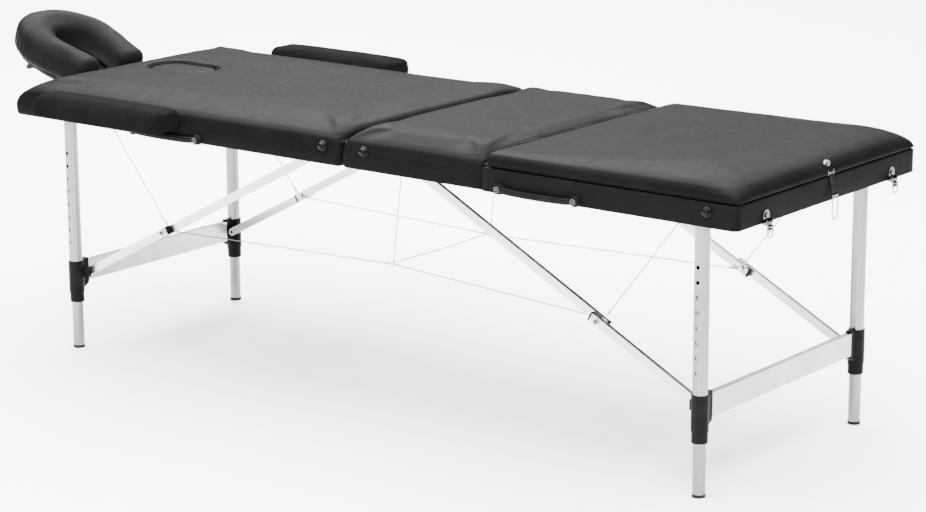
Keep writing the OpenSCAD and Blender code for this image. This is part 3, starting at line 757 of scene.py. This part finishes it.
def arm_shelf(side):
    """A cushion with a seam round each end panel and small gathers at its outer corners."""
    a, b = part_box(f"{side}_arm_pad")
    cx, cy = (a[0] + b[0]) / 2, (a[1] + b[1]) / 2
    hx, hy = (b[0] - a[0]) / 2 - 1.5 * MM, (b[1] - a[1]) / 2 - 1.5 * MM
    z0, z1 = a[2], b[2] - 1.5 * MM
    zc = (z0 + z1) / 2
    section = shelf_section(hy, z0, z1, 8 * MM, 21 * MM)
    rings = []
    for s in np.linspace(-1, 1, 61):
        inset = (1 - float(ease(np.array((1 - abs(s)) * hx), 16 * MM, 2.2))) * 11 * MM
        narrow, thin = 1 - inset / hy, 1 - inset / (z1 - z0) * 1.3
        rings.append([(cx + s * hx, cy + y * narrow, zc + (z - zc) * thin) for y, z in section])
    o = loft(f"{side}_arm_cushion", rings, SHELF)
    puff(o, 4 * MM, 4 * MM, pinned_below(z0 + 4 * MM, 8 * MM), 5.0)
    subdivide(o)
    ripple(o, 0.6 * MM, 26.0, 4.0 + cy * 10)
    out = 1 if side == "far" else -1
    co = coords(o)
    for end in (-1, 1):
        dx = np.abs(co[:, 0] - (cx + end * hx))
        dy = np.abs(co[:, 1] - (cy + out * hy))
        near = np.exp(-((dx / (16 * MM)) ** 2)) * np.exp(-((dy / (14 * MM)) ** 2))
        wave = np.sin(co[:, 2] / (3.4 * MM) * math.pi) * near * (co[:, 2] < z1 - 10 * MM)
        co[:, 0] -= end * wave * 0.8 * MM
        co[:, 1] -= out * wave * 0.6 * MM
        # The seam of the end panel is drawn in as a fine groove.
        seam = np.exp(-((np.abs(co[:, 0] - (cx + end * (hx - 13 * MM))) / (1.8 * MM)) ** 2))
        co[:, 1] -= np.sign(co[:, 1] - cy) * seam * 0.9 * MM * (np.abs(co[:, 1] - cy) > hy - 12 * MM)
        co[:, 2] -= seam * 0.8 * MM * (co[:, 2] > z1 - 14 * MM)
    set_coords(o, co)
    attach(o, f"{side}_arm")
    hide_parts(f"{side}_arm_pad")


for side in ("near", "far"):
    arm_shelf(side)

# ---------------------------------------------------------------- head cradle

TILT = math.radians(20.6)
c_lo, c_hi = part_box("headrest_cushion")
RING_R, RING_L, RING_T = 132 * MM, 18 * MM, 72 * MM
# The crown's far point and the height give the ring's centre back from its box.
RING_X = c_lo[0] + (RING_R + RING_L) * math.cos(TILT) + RING_T / 2 * math.sin(TILT)
RING_Z = c_hi[2] - RING_T / 2 * math.cos(TILT) - (RING_R + RING_L) * math.sin(TILT)
RING = Matrix.Translation((RING_X, 0, RING_Z)) @ Matrix.Rotation(TILT, 4, "Y")
# How far the arms reach from the ring's centre towards the bed.
TIP_X = 131 * MM


def cradle_edges(t):
    """Outer and inner edge of the horseshoe at t from 0 to 1, tip to tip, in the cradle's plane."""
    arm = 0.24
    if arm <= t <= 1 - arm:
        w = math.pi / 2 + math.pi * (t - arm) / (1 - 2 * arm)
        return (Vector((-RING_L + (RING_R - RING_L * 0.2) * math.cos(w), RING_R * math.sin(w), 0)),
                Vector((4 * MM + 46 * MM * math.cos(w), 48 * MM * math.sin(w), 0)))
    s = 1 if t < arm else -1
    f = 1 - min(t, 1 - t) / arm
    soft = f * f * (3 - 2 * f)
    return (Vector((-RING_L + (TIP_X + RING_L) * f, s * (RING_R - 16 * MM * soft), 0)),
            Vector((4 * MM + (TIP_X - 4 * MM) * f, s * (48 * MM - 15 * MM * soft), 0)))


def cradle_cushion():
    """A horseshoe with a full section and straight arms that reach towards the bed."""
    n_path, n_sec = 96, 32
    rings = []
    for k in range(n_path + 1):
        outer, inner = cradle_edges(k / n_path)
        tip = min(k, n_path - k)
        close = math.sqrt(max(0.0, 1 - (1 - tip / 4) ** 2)) * 0.9 + 0.1 if tip < 4 else 1.0
        mid = (outer + inner) / 2
        half = (outer - inner) / 2 * (0.94 * close)
        ring = []
        for i in range(n_sec):
            a = 2 * math.pi * i / n_sec
            ca, sa = math.cos(a), math.sin(a)
            u = math.copysign(abs(ca) ** 0.62, ca)
            v = math.copysign(abs(sa) ** 0.60, sa)
            ring.append(RING @ (mid + half * u + Vector((0, 0, RING_T / 2 * close * v))))
        rings.append(ring)
    return loft("cradle_cushion", rings, CRADLE)


cushion = cradle_cushion()
puff(cushion, 4.5 * MM, 6 * MM, None, 4.0, 12.0)
subdivide(cushion)
inv = RING.inverted()
co = coords(cushion)
local = np.array([inv @ Vector(p) for p in co])
ang = np.arctan2(local[:, 1], local[:, 0])
rad = np.hypot(local[:, 0], local[:, 1])
# Short gathers run out from the hole and down the outer wall.
gather = np.sin(ang * 46 + 1.5 * np.sin(ang * 7)) * np.clip((rad - 95 * MM) / (40 * MM), 0, 1)
gather += np.sin(ang * 30 + 2.0 * np.sin(ang * 5)) * np.clip((75 * MM - rad) / (25 * MM), 0, 1)
gather *= 0.5 + 0.5 * np.sin(ang * 3 + 1.0)
down = np.clip((18 * MM - local[:, 2]) / (30 * MM), 0, 1)
nm = np.empty(len(co) * 3)
cushion.data.vertices.foreach_get("normal", nm)
co += nm.reshape(-1, 3) * (gather * down * 0.8 * MM)[:, None]
set_coords(cushion, co)
ripple(cushion, 1.0 * MM, 24.0, 7.0)
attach(cushion, "headrest")
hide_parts("headrest_cushion")

# ---------------------------------------------------------------- handles


def disc(x, y, z, r, count):
    """Points of a circle round an axis along Y."""
    turn = 2 * math.pi / count
    return [(x + r * math.cos(turn * i), y, z + r * math.sin(turn * i)) for i in range(count)]


# The screws' faces stand this far out of the lugs.
SCREW_FACE = -HALF_W - 9.9 * MM - lo("foot_fasteners")[1]


def carry_handle(name, node, body):
    """A ribbed strap between two round lugs, with the screws' heads on top of them."""
    a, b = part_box(node)
    lug_r = 10 * MM
    x0, x1 = a[0] + lug_r, b[0] - lug_r
    z = b[2] - lug_r
    y_in, y_out = -HALF_W + 1 * MM, -HALF_W - 9.9 * MM
    n = 170
    rings = []
    for k in range(n + 1):
        t = k / n
        x = x0 + (x1 - x0) * t
        sag = 3.4 * MM * (1 - abs(2 * t - 1) ** 3)
        end = min(t, 1 - t) * (x1 - x0)
        full = float(ease(np.array(max(0.0, end - 5 * MM)), 20 * MM))
        ribbed = end > 26 * MM and math.sin(x / (4.2 * MM) * 2 * math.pi) > 0
        rib = 0.55 * MM if ribbed else 0.0
        hh = 5.0 * MM + 1.4 * MM * full - rib
        hd = 2.4 * MM + 2.6 * MM * full - rib * 0.6
        cy = y_out + 3.4 * MM - 1.0 * MM * full
        ring = []
        for i in range(16):
            w = 2 * math.pi * (i + 0.5) / 16
            c, s = math.cos(w), math.sin(w)
            ring.append((x, cy + hd * math.copysign(abs(c) ** 0.6, c),
                         z - sag + hh * math.copysign(abs(s) ** 0.6, s)))
        rings.append(ring)
    parts = [loft(name, rings, MOULDED)]
    for x in (x0, x1):
        lug = [disc(x, y, z, r, 28) for y, r in (
            (y_in, 11 * MM), (y_in - 3 * MM, 11 * MM), (y_in - 5 * MM, 10.4 * MM), (y_out + 2 * MM, 10 * MM),
            (y_out + 0.6 * MM, 9.6 * MM), (y_out, 8.8 * MM))]
        parts.append(loft(name + "_lug", lug, MOULDED))
        # A black ring round the middle of the screw's face: painted shade, standing in for the shadow inside
        # the screw head's recess.
        rings = [disc(x, y_out - d, z, r, 28)
                 for r, d in ((2.2 * MM, SCREW_FACE - 0.6 * MM), (2.2 * MM, SCREW_FACE + 0.5 * MM),
                              (4.6 * MM, SCREW_FACE + 0.5 * MM), (4.6 * MM, SCREW_FACE - 0.6 * MM),
                              (2.2 * MM, SCREW_FACE - 0.6 * MM))]
        parts.append(loft(name + "_painted_recess_shade", rings, MOULDED, caps=False))
    o = joined(name, parts)
    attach(o, body)
    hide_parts(node)


carry_handle("foot_carry_handle", "foot_handle", "foot_half")
carry_handle("head_carry_handle", "head_handle", "head_half")

# ---------------------------------------------------------------- round bumpers


# Radius and distance out of the rail's side, in mm, from the knob's base to its dome.
KNOB = ((9.0, -1.5), (11.0, 0.2), (11.0, 2.2), (10.0, 3.2), (8.2, 3.6), (8.0, 6.4), (7.2, 8.6), (5.2, 10.2),
        (2.4, 10.9), (0.5, 11))


def bumpers(name, node, body, places):
    """Stepped knobs with a glossy dome."""
    parts = []
    for x, z in places:
        for s in (-1, 1):
            rings = [disc(x, s * (HALF_W + out * MM), z, r * MM, 32) for r, out in KNOB]
            parts.append(loft(name, rings, GLOSS))
    o = joined(name, parts)
    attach(o, body)
    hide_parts(node)


f_lo, f_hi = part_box("foot_bumpers")
h_lo, h_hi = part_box("head_bumpers")
R = (h_hi[0] - h_lo[0]) / 2
bumpers("foot_knobs", "foot_bumpers", "foot_half", [(f_lo[0] + R, f_hi[2] - R), (f_hi[0] - R, f_lo[2] + R)])
bumpers("head_knobs", "head_bumpers", "head_half", [((h_lo[0] + h_hi[0]) / 2, (h_lo[2] + h_hi[2]) / 2)])

# ---------------------------------------------------------------- cables

m_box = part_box("foot_cables")
n_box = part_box("head_cables")
NODE_Y, NODE_Z = 163 * MM, 296 * MM
# The struts' middle joints, out from the fold, and the wires' upper ends.
MID_OUT, MID_Z = 583 * MM, 292.2 * MM
WIRE_TOP_OUT = 770 * MM


def strand(name, a, b, r=1.05 * MM):
    a, b = Vector(a), Vector(b)
    n = max(8, int((b - a).length / (4 * MM)))
    return tube(name, [a.lerp(b, k / n) for k in range(n + 1)], r, WIRE, 12, lobes=6, twist=420.0)


def crimp(name, a, b, r=2.3 * MM):
    """A pressed sleeve where a wire ends."""
    a, b = Vector(a), Vector(b)
    t = (b - a).normalized()
    u = t.orthogonal().normalized()
    v = t.cross(u)
    rings = []
    for f, rr in ((0, 0.55), (0.08, 0.9), (0.3, 1.0), (0.42, 0.82),
                  (0.58, 0.82), (0.7, 1.0), (0.92, 0.9), (1, 0.55)):
        p = a.lerp(b, f)
        turns = [math.pi * i / 7 for i in range(14)]
        rings.append([p + (u * math.cos(w) + v * math.sin(w)) * r * rr for w in turns])
    return loft(name, rings, ZINC)


def half_cables(name, node, body, sign, y):
    parts = []
    for s in (-1, 1):
        m = Vector((FOLD + sign * MID_OUT, s * y, MID_Z))
        c = Vector((FOLD, s * NODE_Y, NODE_Z))
        d = (c - m).normalized()
        top = Vector((FOLD + sign * WIRE_TOP_OUT, m.y, UNDER + 4 * MM))
        start = m + Vector((sign * 5 * MM, 0, 6 * MM))
        parts.append(strand(name, start, top))
        parts.append(strand(name, m + d * 6 * MM, c - d * 5 * MM))
        up = (top - start).normalized()
        parts.append(crimp(name, start + up * 6 * MM, start + up * 18 * MM))
        parts.append(crimp(name, top - up * 20 * MM, top - up * 8 * MM))
        parts.append(crimp(name, m + d * 12 * MM, m + d * 24 * MM))
        parts.append(crimp(name, c - d * 22 * MM, c - d * 10 * MM))
        if sign > 0:
            ring = [c + Vector(p) for p in disc(0, 0, 0, 5 * MM, 20)]
            parts.append(tube(name, ring, 1.2 * MM, ZINC, 8, closed=True))
            hang = c + Vector((14 * MM, 0, 5 * MM))
            up = hang + (Vector((FOLD + 30 * MM, c.y, UNDER)) - hang) * 0.999
            parts.append(strand(name, c + Vector((2 * MM, 0, 4 * MM)), up))
            parts.append(strand(name, c + Vector((0, 0, 3 * MM)), c.lerp(Vector((FOLD, 0, NODE_Z)), 1.0)))
    o = joined(name, parts)
    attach(o, body)
    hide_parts(node)
    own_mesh(o)


half_cables("foot_wire_cables", "foot_cables", "foot_half", 1, m_box[1][1] - 1 * MM)
half_cables("head_wire_cables", "head_cables", "head_half", -1, n_box[1][1] - 1 * MM)

# ---------------------------------------------------------------- fluted outer legs


def fluted_legs(end):
    """Outer leg tubes with eight shallow grooves and their row of button holes."""
    node = f"{end}_outer_legs"
    a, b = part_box(node)
    r_out, r_in, count = (b[0] - a[0]) / 2, 12.46 * MM, 96
    hole_r, hole_z, step = 4 * MM, 356 * MM, 28.7 * MM
    x = (a[0] + b[0]) / 2
    parts = []
    for s in (-1, 1):
        y = s * (b[1] - r_out)
        outer, inner = [], []
        for i in range(count):
            w = 2 * math.pi * i / count
            groove = abs((w * 8 / (2 * math.pi) + 0.5) % 1 - 0.5) * (2 * math.pi / 8) * r_out
            r = r_out - 0.95 * MM * math.exp(-((groove / (1.1 * MM)) ** 2))
            outer.append((r * math.cos(w), r * math.sin(w)))
            inner.append((r_in * math.cos(w), r_in * math.sin(w)))
        rings = [[(x + px, y + py, z) for px, py in ring]
                 for ring, z in ((inner, a[2]), (outer, a[2]), (outer, b[2]), (inner, b[2]))]
        leg = loft(f"{end}_leg_tube", rings + [rings[0]], TUBE, caps=False)
        bm = bmesh.new()
        bm.from_mesh(leg.data)
        bmesh.ops.remove_doubles(bm, verts=bm.verts, dist=1e-6)
        bmesh.ops.recalc_face_normals(bm, faces=bm.faces)
        bm.to_mesh(leg.data)
        bm.free()
        drills = []
        for k in range(-4, 4):
            z = hole_z + k * step
            ends = [disc(x, y + s * d, z, hole_r, 24) for d in (5 * MM, 20 * MM)]
            drills.append(loft("drill", ends, TUBE))
        cut(leg, joined("drill", drills))
        parts.append(leg)
    o = joined(f"{end}_fluted_legs", parts)
    o.data.set_sharp_from_angle(angle=math.radians(40))
    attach(o, f"{end}_legs")
    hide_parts(node)


for end in ("foot", "head"):
    fluted_legs(end)

# ---------------------------------------------------------------- latch loops and strut ends


def wire_loop(side):
    """A bent wire loop, narrow at the pivot and round at the bottom."""
    a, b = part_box(f"{side}_latch_loop")
    r = 1.2 * MM
    x, y = (a[0] + b[0]) / 2, (a[1] + b[1]) / 2
    hw = (b[1] - a[1]) / 2 - r
    z0, z1 = a[2] + r, b[2] - r
    low_r, top_r = hw, 3 * MM
    pts = []
    for cy, cz, rad, w0, w1 in ((hw - top_r, z1 - top_r, top_r, 90, 0), (0, z0 + low_r, low_r, 0, -180),
                                (top_r - hw, z1 - top_r, top_r, 180, 90)):
        steps = 12
        for k in range(steps + 1):
            w = math.radians(w0 + (w1 - w0) * k / steps)
            pts.append((x, y + cy + rad * math.cos(w), cz + rad * math.sin(w)))
    o = tube(f"{side}_wire_loop", pts, r, LOOP, 10, closed=True)
    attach(o, f"{side}_loop")
    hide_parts(f"{side}_latch_loop")


for side in ("near", "mid", "far"):
    wire_loop(side)

STRUT_T, STRUT_H = 10 * MM, 17 * MM
# Fall over run between the strut's upper and lower bolts.
SLOPE = (562 - 172) / (813 - 67)


def sleeve(name, at, along, s0, s1, grow, mat):
    """A short rounded box tube round the axis along, from s0 to s1 past the point at."""
    up = Vector((-along.z, 0, along.x))
    rings = []
    for s, shrink in ((s0, 0.6 * MM), (s0 + 0.6 * MM, 0), (s1 - 0.6 * MM, 0), (s1, 0.6 * MM)):
        ring = []
        for cy, cz, w0 in ((1, -1, -90), (1, 1, 0), (-1, 1, 90), (-1, -1, 180)):
            r = 1.6 * MM
            hy, hz = STRUT_T / 2 + grow - shrink, STRUT_H / 2 + grow - shrink
            for k in range(5):
                w = math.radians(w0 + 22.5 * k)
                a, b = cy * (hy - r) + r * math.cos(w), cz * (hz - r) + r * math.sin(w)
                ring.append(at + along * s + up * b + Vector((0, a, 0)))
        rings.append(ring)
    return loft(name, rings, mat)


def rivet(name, at, sign, r=4.6 * MM, h=2.4 * MM):
    """A domed rivet head standing out along Y."""
    rings = []
    for rr, d in ((1.0, 0.0), (1.0, 0.35), (0.86, 0.7), (0.5, 0.95), (0.1, 1.0)):
        rings.append([at + Vector(p) for p in disc(0, sign * h * d, 0, r * rr, 20)])
    return loft(name, rings, CHROME)


def strut_ends(end, sign):
    """Square ends past the middle joint, each closed by a black plug, and the joint's rivets."""
    up_node, low_node = f"{end}_upper_struts", f"{end}_lower_struts"
    along = Vector((sign, 0, -SLOPE)).normalized()
    for node, body, dirn in ((up_node, f"{end}_upper_strut_pair", 1),
                             (low_node, f"{end}_lower_strut_pair", -1)):
        outer = hi(node)[1] - (0 if dirn > 0 else 2.5 * MM)
        y = outer - STRUT_T / 2
        parts = []
        for s in (-1, 1):
            at = Vector((FOLD + sign * MID_OUT, s * y, MID_Z))
            parts.append(sleeve(node, at, along * dirn, 1 * MM, 16 * MM, 0.25 * MM, STRUT))
            parts.append(sleeve(node, at, along * dirn, 15.8 * MM, 19 * MM, 0.7 * MM, MOULDED))
            if dirn < 0:
                parts.append(rivet(node, at + Vector((0, s * (STRUT_T / 2 + 2.4 * MM), 0)), s))
        o = joined(f"{node}_ends", parts)
        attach(o, body)


# ---------------------------------------------------------------- CAD nodes

for name in ("mid_deck", "head_deck", "lid_board"):
    paint(hardboard(name + "_board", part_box(name)), name)
paint(ZINC, "head_brackets", "prop_stand", bevel=0.4 * MM)
paint(part_black("foot_bracket_metal", MID_X - 12 * MM, MID_X + 12 * MM), "foot_brackets", bevel=0.4 * MM)
paint(part_black("lid_fitting_metal", MID_X - 12 * MM, FOOT_X - 60 * MM, (0.08, 0.082, 0.085),
                 (0.16, 0.163, 0.168)), "lid_fittings", bevel=0.3 * MM)
paint(part_black("foot_screw_metal", MID_X - 12 * MM, MID_X + 12 * MM, (0.08, 0.082, 0.085),
                 (0.14, 0.142, 0.146)), "foot_fasteners", bevel=0.5 * MM)
paint(CHROME, "head_fasteners", bevel=0.5 * MM)
paint(CHROME, "latch_bases", "latch_keepers", bevel=0.3 * MM)
paint(MOULDED, "accessory_sockets", bevel=0.6 * MM)
paint(BOARD, "headrest_platform", bevel=1.0 * MM)
paint(MOULDED, "headrest_lever", bevel=1.0 * MM)
paint(TUBE, "headrest_frame", "near_arm_frame", "far_arm_frame", bevel=0.5 * MM)
for end in ("foot", "head"):
    paint(MOULDED, f"{end}_collars", bevel=1.0 * MM)
    paint(BAR, f"{end}_cross_bar", bevel=1.2 * MM)
    paint(STRUT, f"{end}_upper_struts", f"{end}_lower_struts", bevel=1.0 * MM)
    strut_ends(end, 1 if end == "foot" else -1)
    for side in ("near", "far"):
        paint(TUBE, f"{side}_{end}_inner_leg")
        paint(RUBBER, f"{side}_{end}_rubber", bevel=1.0 * MM)
        paint(CHROME, f"{side}_{end}_button", bevel=0.8 * MM)
for side in ("near", "mid", "far"):
    paint(CHROME, f"{side}_latch_lever", bevel=0.3 * MM)

# ---------------------------------------------------------------- floor and light

floor_mat = Nodes("studio_floor")
floor_mat.color(floor_mat.noise(1.5, 3.0), (0.90, 0.90, 0.90), (0.93, 0.93, 0.93))
floor_mat.rough(floor_mat.noise(4.0, 3.0), 0.85, 0.95)
REACH, FLOOR_Z = 30, -0.4 * MM
corners = [(x * REACH, y * REACH, FLOOR_Z) for x, y in ((-1, -1), (1, -1), (1, 1), (-1, 1))]
floor = new_object("floor", corners, [(0, 1, 2, 3)], floor_mat.mat, False)

world = bpy.data.worlds.new("studio")
scene.world = world
world.use_nodes = True
sky = world.node_tree.nodes["Background"]
sky.inputs["Color"].default_value = (1, 1, 1, 1)
sky.inputs["Strength"].default_value = 0.42


def area(name, place, aim, size, power):
    data = bpy.data.lights.new(name, "AREA")
    data.shape = "RECTANGLE"
    data.size, data.size_y = size
    data.energy = power
    o = bpy.data.objects.new(name, data)
    o.location = place
    o.rotation_euler = (Vector(aim) - Vector(place)).to_track_quat("-Z", "Y").to_euler()
    scene.collection.objects.link(o)


area("overhead", (-0.4, -0.6, 4.6), (-0.4, -0.6, 0), (9.0, 9.0), 3600)
area("far_floor", (-4.5, 5.5, 5.0), (-4.5, 5.5, 0), (8.0, 8.0), 2400)
area("near_floor", (4.0, -5.0, 5.0), (2.6, -3.4, 0), (5.0, 5.0), 900)
